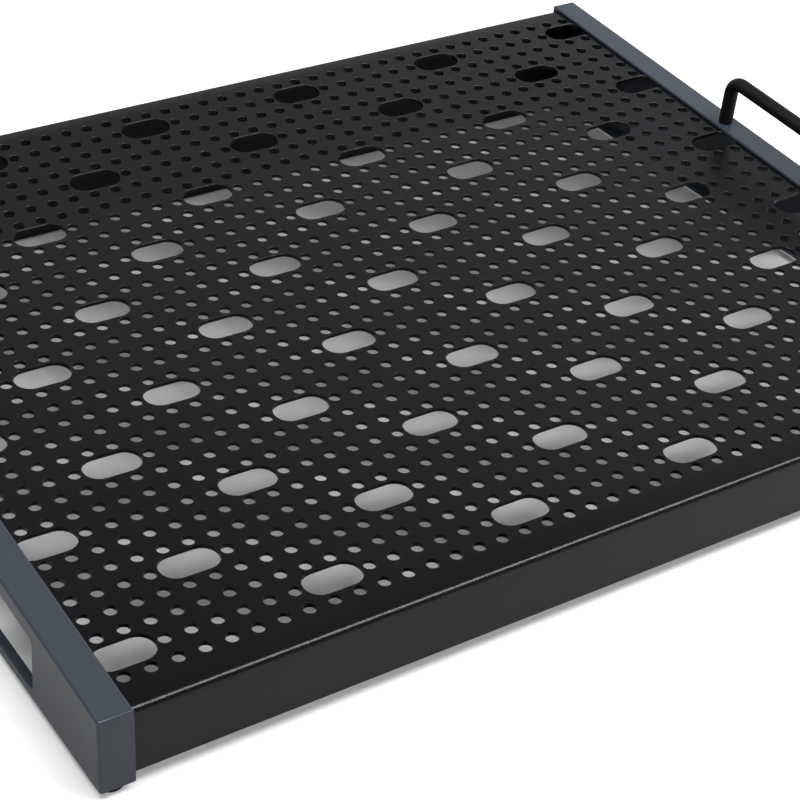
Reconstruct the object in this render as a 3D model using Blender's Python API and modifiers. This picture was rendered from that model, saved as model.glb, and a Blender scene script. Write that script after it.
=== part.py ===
"""Pedalboard: a tilted, perforated sheet deck between two folded side rails with bar handles and rubber feet.

Metres, +X to the right, +Y to the back, +Z up. The origin is on the floor, under the middle of the board.
"""
import math

import bmesh
import bpy
from mathutils import Matrix, Vector

MM = 0.001

# Whole board
BOARD_WIDTH = 533.4 * MM
BOARD_DEPTH = 419.0 * MM
FRONT_HEIGHT = 38.0 * MM
DECK_TILT = math.radians(4.0)
FIT_GAP = 0.3 * MM

# Side rails, folded trays that are open towards the deck
RAIL_SHEET = 1.5 * MM
RAIL_FLANGE = 15.6 * MM
RAIL_BEND = 2.0 * MM
RAIL_LEDGE = 6.2 * MM
RAIL_END_TAB = 24.0 * MM
WINDOW_END = 59.0 * MM
WINDOW_LENGTH = 132.0 * MM
WINDOW_TOP_STRIP = 8.5 * MM
WINDOW_BOTTOM_STRIP = 5.5 * MM
WINDOW_CORNER = 2.0 * MM

# Deck, one sheet folded down at the front and the rear
DECK_SHEET = 2.0 * MM
DECK_BEND = 3.0 * MM
DECK_SAG = 3.4 * MM
FRONT_SKIRT_CLEARANCE = 7.3 * MM
REAR_SKIRT_CLEARANCE = 4.0 * MM
HOLE_PITCH = 12.0 * MM
HOLE_DIAMETER = 6.0 * MM
SLOT_LENGTH = 28.0 * MM
SLOT_WIDTH = 15.6 * MM
SLOT_STEP_PITCHES = 8
ROW_STEP_PITCHES = 3
FIRST_ROW = 31.4 * MM
LAST_ROW_MARGIN = 22.0 * MM
SLOT_END_MARGIN = 8.0 * MM

# Studs under the rails and their nuts, in holes of the deck's grid counted from its middle row
BOLT_INSET = 8.7 * MM
STUD_NEAR_ROWS = 6
STUD_FAR_ROWS = 12
STUD_DIAMETER = 5.0 * MM
STUD_SPARE = 1.0 * MM
STUD_WELD = 0.5 * MM
STUD_NUT_FLATS = 8.0 * MM
STUD_NUT_HEIGHT = 4.0 * MM

# Bar handles and the screws that hold them
ROD_DIAMETER = 8.0 * MM
HANDLE_LEG_ROWS = 4
HANDLE_RISE = 27.0 * MM
HANDLE_BEND = 8.0 * MM
HANDLE_BORE_DEPTH = 12.0 * MM
HANDLE_SCREW_DIAMETER = 5.0 * MM
HANDLE_SCREW_GRIP = 10.0 * MM
HANDLE_SCREW_HEAD = 9.0 * MM
HANDLE_SCREW_HEAD_HEIGHT = 2.8 * MM
HANDLE_SCREW_SOCKET = 3.2 * MM
HANDLE_SCREW_SOCKET_DEPTH = 1.6 * MM

# Rubber feet and their screws
FOOT_HEIGHT = 3.0 * MM
FOOT_DIAMETER = 12.0 * MM
FOOT_ROUNDING = 0.8 * MM
FOOT_END_INSET = 8.0 * MM
FOOT_RECESS_DEPTH = 1.8 * MM
FOOT_SCREW_DIAMETER = 3.0 * MM
FOOT_SCREW_HEAD = 5.6 * MM
FOOT_SCREW_HEAD_HEIGHT = 1.2 * MM
FOOT_SCREW_SPARE = 0.6 * MM
FOOT_NUT_FLATS = 5.5 * MM
FOOT_NUT_HEIGHT = 2.4 * MM

# Facets
BEND_SEGMENTS = 3
SAG_FACETS = 5
SLOT_CORNER_SEGMENTS = 4
HANDLE_BEND_STEPS = 6
ROD_RESOLUTION = 4
TURN_STEPS = 16
HOLE_SIDES = 16
CUT_REACH = 6.0 * MM

# Places that follow from the sizes above
SIDES = {"left": -1, "right": 1}
ENDS = {"front": -1, "rear": 1}
HALF_WIDTH = BOARD_WIDTH / 2
HALF_DEPTH = BOARD_DEPTH / 2
FLANGE_MIDDLE = HALF_WIDTH - RAIL_FLANGE / 2
BOLT_LINE = HALF_WIDTH - BOLT_INSET
SLOPE_LENGTH = BOARD_DEPTH / math.cos(DECK_TILT)
DECK_TOP = -(RAIL_SHEET + FIT_GAP)
DECK_UNDERSIDE = DECK_TOP - DECK_SHEET
SKIRT_FACE = HALF_DEPTH - RAIL_SHEET - FIT_GAP
DECK_HALF_WIDTH = HALF_WIDTH - RAIL_SHEET - FIT_GAP


def rail_top(y):
    """Height of the rails' top face at a depth y."""
    return FOOT_HEIGHT + FRONT_HEIGHT + (y + HALF_DEPTH) * math.tan(DECK_TILT)


def deck_top(y):
    """Height of the deck's top face at a depth y."""
    return rail_top(y) + DECK_TOP / math.cos(DECK_TILT)


def new_collection(name):
    collection = bpy.data.collections.new(name)
    bpy.context.scene.collection.children.link(collection)
    return collection


def new_material(name, colour, roughness, metallic):
    material = bpy.data.materials.new(name)
    material.use_nodes = True
    shader = material.node_tree.nodes["Principled BSDF"]
    shader.inputs["Base Color"].default_value = (*colour, 1.0)
    shader.inputs["Roughness"].default_value = roughness
    shader.inputs["Metallic"].default_value = metallic
    return material


for old in list(bpy.data.objects):
    bpy.data.objects.remove(old, do_unlink=True)

parts = new_collection("pedalboard")
cutters = new_collection("pedalboard_cutters")

deck_black = new_material("deck_black_powder_coat", (0.016, 0.016, 0.017), 0.55, 0.0)
rail_grey = new_material("rail_anthracite_coat", (0.062, 0.078, 0.098), 0.42, 0.0)
handle_black = new_material("handle_black_coat", (0.012, 0.012, 0.012), 0.6, 0.0)
foot_black = new_material("foot_black_rubber", (0.01, 0.01, 0.01), 0.8, 0.0)
fastener_steel = new_material("fastener_zinc_steel", (0.55, 0.56, 0.58), 0.35, 1.0)

# The deck frame: x across, y up the slope from the rails' front edge, z square to the rails' top face
deck_frame = bpy.data.objects.new("deck_frame", None)
deck_frame.location = (0.0, -HALF_DEPTH, rail_top(-HALF_DEPTH))
deck_frame.rotation_euler = (DECK_TILT, 0.0, 0.0)
parts.objects.link(deck_frame)


def add_part(name, mesh, material, parent=None, location=(0.0, 0.0, 0.0)):
    """A named piece of the board, placed in the world or in its parent's frame."""
    part = bpy.data.objects.new(name, mesh)
    part.parent = parent
    part.location = location
    if not mesh.materials:
        mesh.materials.append(material)
    mesh.shade_smooth()
    mesh.set_sharp_from_angle(angle=math.radians(35))
    parts.objects.link(part)
    return part


def add_cutter(name, mesh, parent=None):
    """A body that only cuts or joins another one."""
    cutter = bpy.data.objects.new(name, mesh)
    cutter.parent = parent
    cutter.hide_render = True
    cutter.display_type = "WIRE"
    cutters.objects.link(cutter)
    return cutter


def apply_boolean(part, cutter, operation):
    boolean = part.modifiers.new(cutter.name, "BOOLEAN")
    boolean.operation = operation
    boolean.solver = "EXACT"
    boolean.object = cutter


def mesh_from(bm, name):
    mesh = bpy.data.meshes.new(name)
    bm.to_mesh(mesh)
    bm.free()
    return mesh


def wedge_box(x_low, x_high, y_low, y_high, bottom, top):
    """A box whose bottom and top follow functions of y, with its faces outwards."""
    bm = bmesh.new()
    bmesh.ops.create_cube(bm, size=2.0)
    for vert in bm.verts:
        y = y_high if vert.co.y > 0 else y_low
        z = top(y) if vert.co.z > 0 else bottom(y)
        vert.co = Vector((x_high if vert.co.x > 0 else x_low, y, z))
    bmesh.ops.recalc_face_normals(bm, faces=bm.faces)
    bm.normal_update()
    return bm


def open_faces(bm, directions):
    """Removes the faces that look mostly along one of the directions."""
    limit = math.cos(math.radians(45))
    doomed = [face for face in bm.faces if any(face.normal.dot(Vector(d)) > limit for d in directions)]
    bmesh.ops.delete(bm, geom=doomed, context="FACES")


def fold_sheet(part, radius, thickness):
    """Turns an open box into folded sheet: rounded bends, then the sheet's thickness inwards."""
    bend = part.modifiers.new("bends", "BEVEL")
    bend.width = radius
    bend.segments = BEND_SEGMENTS
    bend.limit_method = "ANGLE"
    bend.angle_limit = math.radians(30)
    sheet = part.modifiers.new("sheet", "SOLIDIFY")
    sheet.thickness = thickness
    sheet.offset = -1.0
    sheet.use_even_offset = True


def add_cylinder(bm, radius, low, high, x, y, sides=HOLE_SIDES):
    """A closed cylinder along z between two heights."""
    place = Matrix.Translation((x, y, (low + high) / 2))
    bmesh.ops.create_cone(bm, cap_ends=True, segments=sides, radius1=radius, radius2=radius,
                          depth=high - low, matrix=place)


def turned_mesh(name, profile, closed=False):
    """A body turned about z from a profile of (radius, height) points that runs down its outer side."""
    bm = bmesh.new()
    verts = [bm.verts.new((radius, 0.0, height)) for radius, height in profile]
    for first, second in zip(verts, verts[1:]):
        bm.edges.new((first, second))
    if closed:
        bm.edges.new((verts[-1], verts[0]))
    turned = bpy.data.objects.new(name, mesh_from(bm, name + "_profile"))
    cutters.objects.link(turned)
    screw = turned.modifiers.new("turn", "SCREW")
    screw.axis = "Z"
    screw.angle = math.tau
    screw.steps = TURN_STEPS
    screw.render_steps = TURN_STEPS
    screw.use_merge_vertices = True
    screw.merge_threshold = 0.00001
    return baked_mesh(turned, name)


def baked_mesh(source, name):
    """The finished mesh of an object with modifiers, welded; the object itself is removed."""
    evaluated = source.evaluated_get(bpy.context.evaluated_depsgraph_get())
    mesh = bpy.data.meshes.new_from_object(evaluated)
    mesh.name = name
    bm = bmesh.new()
    bm.from_mesh(mesh)
    bmesh.ops.remove_doubles(bm, verts=bm.verts, dist=0.000001)
    bm.to_mesh(mesh)
    bm.free()
    bpy.data.objects.remove(source, do_unlink=True)
    return mesh


def nut_mesh(name, flats, height, bore_diameter):
    """A hexagon nut that stands on z = 0."""
    bm = bmesh.new()
    add_cylinder(bm, flats / math.sqrt(3), 0.0, height, 0.0, 0.0, sides=6)
    nut = add_cutter(name + "_blank", mesh_from(bm, name + "_blank"))
    bm = bmesh.new()
    add_cylinder(bm, bore_diameter / 2, -height, 2 * height, 0.0, 0.0)
    bore = add_cutter(name + "_bore", mesh_from(bm, name + "_bore"))
    apply_boolean(nut, bore, "DIFFERENCE")
    mesh = baked_mesh(nut, name)
    bpy.data.objects.remove(bore, do_unlink=True)
    return mesh


def grid_place(rows):
    """Distance up the slope of the row of the hole grid that many rows from its middle one."""
    middle_row = round((SLOPE_LENGTH / 2 - FIRST_ROW) / HOLE_PITCH)
    return FIRST_ROW + (middle_row + rows) * HOLE_PITCH


def stud_places():
    """Distances up the slope of the studs along a rail."""
    return [grid_place(rows) for rows in (-STUD_FAR_ROWS, -STUD_NEAR_ROWS, STUD_NEAR_ROWS, STUD_FAR_ROWS)]


def leg_places():
    """Distance up the slope of each leg of a handle."""
    return {end: grid_place(sign * HANDLE_LEG_ROWS) for end, sign in ENDS.items()}


def slot_places():
    """Middles of the cable slots, x across and y up the slope; every other row is shifted half a step."""
    step = SLOT_STEP_PITCHES * HOLE_PITCH
    row_step = ROW_STEP_PITCHES * HOLE_PITCH
    columns = 1 + int((2 * DECK_HALF_WIDTH - SLOT_LENGTH - 2 * SLOT_END_MARGIN) / step)
    rows = 1 + int((SLOPE_LENGTH - FIRST_ROW - LAST_ROW_MARGIN) / row_step)
    places = []
    for row in range(rows):
        count = columns - row % 2
        for column in range(count):
            places.append(((column - (count - 1) / 2) * step, FIRST_ROW + row * row_step))
    return places


def window_mesh(name, y_low, y_high, x_low, x_high):
    """A block for the window in a rail's wall: level sill, head along the slope, small corner radii."""
    sill = FOOT_HEIGHT + WINDOW_BOTTOM_STRIP
    bm = wedge_box(x_low, x_high, y_low, y_high, lambda y: sill, lambda y: rail_top(y) - WINDOW_TOP_STRIP)
    across = [edge for edge in bm.edges if abs(edge.verts[0].co.x - edge.verts[1].co.x) > RAIL_SHEET]
    bmesh.ops.bevel(bm, geom=across, offset=WINDOW_CORNER, offset_type="OFFSET", segments=BEND_SEGMENTS,
                    profile=0.5, affect="EDGES")
    return mesh_from(bm, name)


def make_rail(side):
    sign = SIDES[side]
    low, high = sorted((sign * HALF_WIDTH, sign * (HALF_WIDTH - RAIL_FLANGE)))
    bm = wedge_box(low, high, -HALF_DEPTH, HALF_DEPTH, lambda y: FOOT_HEIGHT, rail_top)
    open_faces(bm, [(-sign, 0, 0)])
    rail = add_part(side + "_side_rail", mesh_from(bm, side + "_side_rail"), rail_grey)
    fold_sheet(rail, RAIL_BEND, RAIL_SHEET)

    # Studs welded under the top flange
    bm = bmesh.new()
    stud_end = DECK_UNDERSIDE - FIT_GAP - STUD_NUT_HEIGHT - STUD_SPARE
    for place in stud_places():
        add_cylinder(bm, STUD_DIAMETER / 2, stud_end, -RAIL_SHEET + STUD_WELD, sign * BOLT_LINE, place)
    apply_boolean(rail, add_cutter(side + "_studs", mesh_from(bm, side + "_studs"), deck_frame), "UNION")

    # Holes for the handle screws in the top flange
    bm = bmesh.new()
    for place in leg_places().values():
        add_cylinder(bm, HANDLE_SCREW_DIAMETER / 2 + FIT_GAP, -RAIL_SHEET - CUT_REACH, CUT_REACH,
                     sign * BOLT_LINE, place)
    holes = add_cutter(side + "_handle_holes", mesh_from(bm, side + "_handle_holes"), deck_frame)
    apply_boolean(rail, holes, "DIFFERENCE")

    # Holes for the foot screws in the bottom flange
    bm = bmesh.new()
    for end in ENDS:
        x, y = foot_place(side, end)
        add_cylinder(bm, FOOT_SCREW_DIAMETER / 2 + FIT_GAP, -CUT_REACH, FOOT_HEIGHT + RAIL_SHEET + FIT_GAP, x, y)
    holes = add_cutter(side + "_foot_holes", mesh_from(bm, side + "_foot_holes"))
    apply_boolean(rail, holes, "DIFFERENCE")

    # Between the end tabs that carry the feet, the bottom flange is only a narrow ledge
    low, high = sorted((sign * (HALF_WIDTH - RAIL_LEDGE), sign * (HALF_WIDTH - RAIL_FLANGE - CUT_REACH)))
    reach = HALF_DEPTH - RAIL_END_TAB
    bm = wedge_box(low, high, -reach, reach, lambda y: -CUT_REACH, lambda y: FOOT_HEIGHT + 2 * RAIL_SHEET)
    apply_boolean(rail, add_cutter(side + "_relief", mesh_from(bm, side + "_relief")), "DIFFERENCE")

    # A window through the outer wall, near the front
    wall_low, wall_high = sorted((sign * (HALF_WIDTH - RAIL_FLANGE / 2), sign * (HALF_WIDTH + CUT_REACH)))
    window_start = WINDOW_END - HALF_DEPTH
    name = side + "_window"
    mesh = window_mesh(name, window_start, window_start + WINDOW_LENGTH, wall_low, wall_high)
    apply_boolean(rail, add_cutter(name, mesh), "DIFFERENCE")


def hang_panel(bm):
    """Lets the deck's panel hang down between the rails and the skirts, most in its middle."""
    half_width = HALF_WIDTH - RAIL_FLANGE
    half_depth = SKIRT_FACE - 2 * DECK_BEND
    for line in range(SAG_FACETS + 1):
        share = 2 * line / SAG_FACETS - 1
        for axis, place in (((1, 0, 0), share * half_width), ((0, 1, 0), share * half_depth)):
            bmesh.ops.bisect_plane(bm, geom=[*bm.verts, *bm.edges, *bm.faces], dist=0.000001,
                                   plane_co=place * Vector(axis), plane_no=axis)
    for vert in bm.verts:
        across, along = vert.co.x / half_width, vert.co.y / half_depth
        if abs(across) < 1 and abs(along) < 1:
            vert.co.z -= DECK_SAG * (1 - across ** 2) * (1 - along ** 2)


def make_deck():
    bm = wedge_box(-DECK_HALF_WIDTH, DECK_HALF_WIDTH, -SKIRT_FACE, SKIRT_FACE,
                   lambda y: FRONT_SKIRT_CLEARANCE if y < 0 else REAR_SKIRT_CLEARANCE, deck_top)
    open_faces(bm, [(-1, 0, 0), (1, 0, 0), (0, 0, -1)])
    hang_panel(bm)
    deck = add_part("deck_plate", mesh_from(bm, "deck_plate"), deck_black)
    fold_sheet(deck, DECK_BEND, DECK_SHEET)
    deck.modifiers.new("flat_facets", "TRIANGULATE")

    # Notches in the skirts' lower corners, clear of the rails' bottom flanges
    bm = bmesh.new()
    notch_top = FOOT_HEIGHT + RAIL_BEND + FIT_GAP
    size = Vector((RAIL_FLANGE + FIT_GAP + CUT_REACH, BOARD_DEPTH, notch_top + CUT_REACH))
    for sign in SIDES.values():
        middle = Vector((sign * (HALF_WIDTH + CUT_REACH - size.x / 2), 0.0, notch_top - size.z / 2))
        bmesh.ops.create_cube(bm, size=1.0, matrix=Matrix.LocRotScale(middle, None, size))
    apply_boolean(deck, add_cutter("deck_notches", mesh_from(bm, "deck_notches")), "DIFFERENCE")

    # Cable slots with round ends
    bm = bmesh.new()
    size = Vector((SLOT_LENGTH, SLOT_WIDTH, 2 * CUT_REACH))
    for x, y in slot_places():
        bmesh.ops.create_cube(bm, size=1.0, matrix=Matrix.LocRotScale(Vector((x, y, DECK_TOP)), None, size))
    upright = [edge for edge in bm.edges if abs(edge.verts[0].co.z - edge.verts[1].co.z) > CUT_REACH]
    bmesh.ops.bevel(bm, geom=upright, offset=SLOT_WIDTH / 2 - FIT_GAP / 2, offset_type="OFFSET",
                    segments=SLOT_CORNER_SEGMENTS, profile=0.5, affect="EDGES")
    slots = add_cutter("deck_slots", mesh_from(bm, "deck_slots"), deck_frame)
    apply_boolean(deck, slots, "DIFFERENCE")

    # Grid holes under the rails for the studs and the handle screws
    bm = bmesh.new()
    for sign in SIDES.values():
        for place in [*stud_places(), *leg_places().values()]:
            add_cylinder(bm, HOLE_DIAMETER / 2, -CUT_REACH, CUT_REACH, sign * BOLT_LINE, place)
    holes = add_cutter("deck_end_holes", mesh_from(bm, "deck_end_holes"), deck_frame)
    apply_boolean(deck, holes, "DIFFERENCE")


def handle_path(x):
    """Middle line of a handle in the deck frame: up one leg, round two bends and down the other leg."""
    front, rear = leg_places()["front"], leg_places()["rear"]
    points = [Vector((x, front, FIT_GAP))]
    for middle, start in ((front + HANDLE_BEND, math.pi), (rear - HANDLE_BEND, math.pi / 2)):
        for step in range(HANDLE_BEND_STEPS + 1):
            angle = start - step * math.pi / 2 / HANDLE_BEND_STEPS
            points.append(Vector((x, middle + HANDLE_BEND * math.cos(angle),
                                  HANDLE_RISE - HANDLE_BEND + HANDLE_BEND * math.sin(angle))))
    points.append(Vector((x, rear, FIT_GAP)))
    return points


def make_handle(side):
    name = side + "_handle"
    curve = bpy.data.curves.new(name + "_path", "CURVE")
    curve.dimensions = "3D"
    curve.bevel_depth = ROD_DIAMETER / 2
    curve.bevel_resolution = ROD_RESOLUTION
    curve.use_fill_caps = True
    points = handle_path(SIDES[side] * BOLT_LINE)
    spline = curve.splines.new("POLY")
    spline.points.add(len(points) - 1)
    for point, place in zip(spline.points, points):
        point.co = (*place, 1.0)
    rod = bpy.data.objects.new(name + "_path", curve)
    cutters.objects.link(rod)
    handle = add_part(name, baked_mesh(rod, name), handle_black, deck_frame)

    # A threaded bore up each leg
    bm = bmesh.new()
    for place in leg_places().values():
        add_cylinder(bm, HANDLE_SCREW_DIAMETER / 2 + FIT_GAP, -CUT_REACH, HANDLE_BORE_DEPTH,
                     SIDES[side] * BOLT_LINE, place)
    bores = add_cutter(name + "_bores", mesh_from(bm, name + "_bores"), deck_frame)
    apply_boolean(handle, bores, "DIFFERENCE")


def make_handle_screws():
    head_top = DECK_UNDERSIDE - FIT_GAP
    head_bottom = head_top - HANDLE_SCREW_HEAD_HEIGHT
    shank = HANDLE_SCREW_DIAMETER / 2
    head = HANDLE_SCREW_HEAD / 2
    socket = HANDLE_SCREW_SOCKET / 2
    mesh = turned_mesh("handle_screw", [
        (0.0, HANDLE_SCREW_GRIP), (shank, HANDLE_SCREW_GRIP), (shank, head_top), (head, head_top),
        (head, (head_top + head_bottom) / 2), ((head + socket) / 2, head_bottom), (socket, head_bottom),
        (socket, head_bottom + HANDLE_SCREW_SOCKET_DEPTH), (0.0, head_bottom + HANDLE_SCREW_SOCKET_DEPTH)])
    for side, sign in SIDES.items():
        for end, place in leg_places().items():
            add_part(f"handle_screw_{side}_{end}", mesh, fastener_steel, deck_frame,
                     (sign * BOLT_LINE, place, 0.0))


def make_rail_nuts():
    mesh = nut_mesh("rail_nut", STUD_NUT_FLATS, STUD_NUT_HEIGHT, STUD_DIAMETER + 2 * FIT_GAP)
    for side, sign in SIDES.items():
        for number, place in enumerate(stud_places(), start=1):
            add_part(f"rail_nut_{side}_{number}", mesh, fastener_steel, deck_frame,
                     (sign * BOLT_LINE, place, DECK_UNDERSIDE - FIT_GAP - STUD_NUT_HEIGHT))


def foot_place(side, end):
    return SIDES[side] * FLANGE_MIDDLE, ENDS[end] * (HALF_DEPTH - FOOT_END_INSET)


def make_feet():
    top = FOOT_HEIGHT - FIT_GAP
    outer = FOOT_DIAMETER / 2
    bore = FOOT_SCREW_DIAMETER / 2 + FIT_GAP
    recess = FOOT_SCREW_HEAD / 2 + FIT_GAP
    diagonal = FOOT_ROUNDING * (1 - math.sqrt(0.5))
    foot = turned_mesh("foot", [
        (outer, top), (outer, FOOT_ROUNDING), (outer - diagonal, diagonal), (outer - FOOT_ROUNDING, 0.0),
        (recess, 0.0), (recess, FOOT_RECESS_DEPTH), (bore, FOOT_RECESS_DEPTH), (bore, top)], closed=True)

    head_top = FOOT_RECESS_DEPTH - FIT_GAP
    head_bottom = head_top - FOOT_SCREW_HEAD_HEIGHT
    nut_bottom = FOOT_HEIGHT + RAIL_SHEET + FIT_GAP
    screw_end = nut_bottom + FOOT_NUT_HEIGHT + FOOT_SCREW_SPARE
    shank = FOOT_SCREW_DIAMETER / 2
    head = FOOT_SCREW_HEAD / 2
    screw = turned_mesh("foot_screw", [
        (0.0, screw_end), (shank, screw_end), (shank, head_top), (head, head_top),
        (head, (head_top + head_bottom) / 2), ((head + shank) / 2, head_bottom), (0.0, head_bottom)])
    nut = nut_mesh("foot_nut", FOOT_NUT_FLATS, FOOT_NUT_HEIGHT, FOOT_SCREW_DIAMETER + 2 * FIT_GAP)

    for side in SIDES:
        for end in ENDS:
            x, y = foot_place(side, end)
            add_part(f"foot_{side}_{end}", foot, foot_black, None, (x, y, 0.0))
            add_part(f"foot_screw_{side}_{end}", screw, fastener_steel, None, (x, y, 0.0))
            add_part(f"foot_nut_{side}_{end}", nut, fastener_steel, None, (x, y, nut_bottom))


make_deck()
for side_name in SIDES:
    make_rail(side_name)
    make_handle(side_name)
make_handle_screws()
make_rail_nuts()
make_feet()
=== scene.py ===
import math
import bmesh
import bpy
from mathutils import Matrix, Vector


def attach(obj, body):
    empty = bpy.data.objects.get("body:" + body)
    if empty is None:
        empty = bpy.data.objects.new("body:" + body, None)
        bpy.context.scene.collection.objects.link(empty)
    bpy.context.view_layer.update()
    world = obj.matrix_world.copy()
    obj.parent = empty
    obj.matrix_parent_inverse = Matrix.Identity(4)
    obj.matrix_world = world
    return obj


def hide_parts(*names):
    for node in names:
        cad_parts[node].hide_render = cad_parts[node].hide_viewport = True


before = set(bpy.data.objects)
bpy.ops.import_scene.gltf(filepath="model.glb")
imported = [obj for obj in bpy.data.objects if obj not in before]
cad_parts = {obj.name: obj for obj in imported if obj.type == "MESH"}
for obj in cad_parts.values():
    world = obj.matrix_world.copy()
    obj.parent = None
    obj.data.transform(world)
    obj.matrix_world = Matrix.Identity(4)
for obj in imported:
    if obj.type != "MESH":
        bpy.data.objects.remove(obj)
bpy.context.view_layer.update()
print("frame loaded:", len(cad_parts), "nodes")

# sizes that several pieces share, in metres
board = {
    "halfWidth": 0.2667,
    "halfDepth": 0.2095,
    "frontTop": 0.041,        # top of the rails at their front edge
    "tilt": math.radians(4.0),
    "pitch": 0.012,           # hole grid of the deck
    "firstRow": 0.0314,       # first slot row, measured up the slope
    "middleColumn": 20,       # grid column on the board's middle line
    "boltLine": 0.258,
    "studRows": (3, 9, 21, 27),
    "legRows": (11, 19),
}
sides = {"left": -1, "right": 1}
ends = {"front": -1, "rear": 1}
railFront = Matrix.Translation((0.0, -board["halfDepth"], board["frontTop"]))
upSlope = railFront @ Matrix.Rotation(board["tilt"], 4, "X")

# distances for merging, picking and cutting, in metres
work = {
    "weld": 0.000004,         # points this close become one
    "seam": 0.00002,          # the same between repeated units
    "touch": 0.00001,
    "near": 0.0001,
    "through": 0.01,          # how far slot cutters stand out
    "holeCut": 0.006,         # the same for cutters of holes
    "below": 0.002,           # the same under screw heads and feet
}


def railTop(y):
    return board["frontTop"] + (y + board["halfDepth"]) * math.tan(board["tilt"])


def gridRow(row):
    return board["firstRow"] + row * board["pitch"]


def gridColumn(column):
    return (column - board["middleColumn"]) * board["pitch"]


# small helpers for working by operator

def clearSelection():
    if bpy.context.mode != "OBJECT":
        bpy.ops.object.mode_set(mode="OBJECT")
    bpy.ops.object.select_all(action="DESELECT")


def workOn(piece):
    clearSelection()
    piece.select_set(True)
    bpy.context.view_layer.objects.active = piece


def openEdit(piece):
    workOn(piece)
    bpy.ops.object.mode_set(mode="EDIT")
    bpy.ops.mesh.select_mode(type="VERT")


def closeEdit():
    bpy.ops.object.mode_set(mode="OBJECT")


def pick(piece, kind, test):
    bpy.ops.mesh.select_mode(type=kind)
    bpy.ops.mesh.select_all(action="DESELECT")
    body = bmesh.from_edit_mesh(piece.data)
    body.normal_update()
    for item in {"VERT": body.verts, "EDGE": body.edges, "FACE": body.faces}[kind]:
        if test(item):
            item.select_set(True)
    body.select_flush_mode()
    bmesh.update_edit_mesh(piece.data)


def middle(edge):
    return (edge.verts[0].co + edge.verts[1].co) / 2


def along(edge):
    return (edge.verts[1].co - edge.verts[0].co).normalized()


def isUpright(edge):
    return abs(along(edge).z) > 0.9


def ringAt(height):
    return lambda edge: abs(along(edge).z) < 0.1 and abs(middle(edge).z - height) < work["near"]


def roundEdges(piece, test, radius, steps):
    openEdit(piece)
    pick(piece, "EDGE", test)
    bpy.ops.mesh.bevel(offset=radius, segments=steps, affect="EDGES")
    closeEdit()


def moveOut(offset):
    bpy.ops.mesh.extrude_region_move(TRANSFORM_OT_translate={"value": offset})


def started(name):
    piece = bpy.context.object
    piece.name = name
    piece.data.name = name
    return piece


def addBlock(name, low, high):
    clearSelection()
    low, high = Vector(low), Vector(high)
    bpy.ops.mesh.primitive_cube_add(size=1.0, location=(low + high) / 2, scale=high - low)
    block = started(name)
    bpy.ops.object.transform_apply(location=True, rotation=True, scale=True)
    return block


def addRound(name, radius, low, high, x, y, corners=24):
    clearSelection()
    bpy.ops.mesh.primitive_cylinder_add(vertices=corners, radius=radius, depth=high - low,
                                        location=(x, y, (low + high) / 2))
    stick = started(name)
    bpy.ops.object.transform_apply(location=True, rotation=True, scale=True)
    return stick


def place(piece, matrix):
    workOn(piece)
    piece.matrix_world = matrix
    bpy.ops.object.transform_apply(location=True, rotation=True, scale=True)
    return piece


def finishWith(piece, kind, **settings):
    workOn(piece)
    modifier = piece.modifiers.new(kind.lower(), kind)
    for key, value in settings.items():
        setattr(modifier, key, value)
    bpy.ops.object.modifier_apply(modifier=modifier.name)


def combine(piece, tool, operation):
    finishWith(piece, "BOOLEAN", object=tool, operation=operation, solver="EXACT")
    bpy.data.objects.remove(tool, do_unlink=True)


def softenEdges(piece, width, degrees):
    finishWith(piece, "BEVEL", width=width, segments=2, limit_method="ANGLE",
               angle_limit=math.radians(degrees))


def turnEdges(steps, angle, centre):
    bpy.ops.mesh.spin(steps=steps, angle=-angle, center=centre, axis=(1, 0, 0))  # spin turns the other way


def copyOf(piece, name):
    twin = piece.copy()
    twin.data = piece.data.copy()
    twin.name = name
    twin.data.name = name
    bpy.context.scene.collection.objects.link(twin)
    return twin


def tidyNormals(piece):
    openEdit(piece)
    bpy.ops.mesh.select_all(action="SELECT")
    bpy.ops.mesh.remove_doubles(threshold=work["weld"])
    bpy.ops.mesh.normals_make_consistent(inside=False)
    closeEdit()


def shade(piece, degrees):
    workOn(piece)
    bpy.ops.object.shade_smooth_by_angle(angle=math.radians(degrees))
    finishWith(piece, "WEIGHTED_NORMAL", keep_sharp=True, weight=80)


def dress(piece, material, slotName, *nodeNames):
    piece.data.materials.clear()
    piece.data.materials.append(material)
    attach(piece, "root")
    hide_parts(*nodeNames)


# finishes

def newGroup(name, inputs, outputs):
    group = bpy.data.node_groups.new(name, "ShaderNodeTree")
    for label, kind, value in inputs:
        socket = group.interface.new_socket(name=label, in_out="INPUT", socket_type=kind)
        if value is not None:
            socket.default_value = value
    for label, kind in outputs:
        group.interface.new_socket(name=label, in_out="OUTPUT", socket_type=kind)
    return group, group.nodes.new("NodeGroupInput"), group.nodes.new("NodeGroupOutput")


def addNode(tree, kind, **settings):
    node = tree.nodes.new(kind)
    for key, value in settings.items():
        setattr(node, key, value)
    return node


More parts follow.
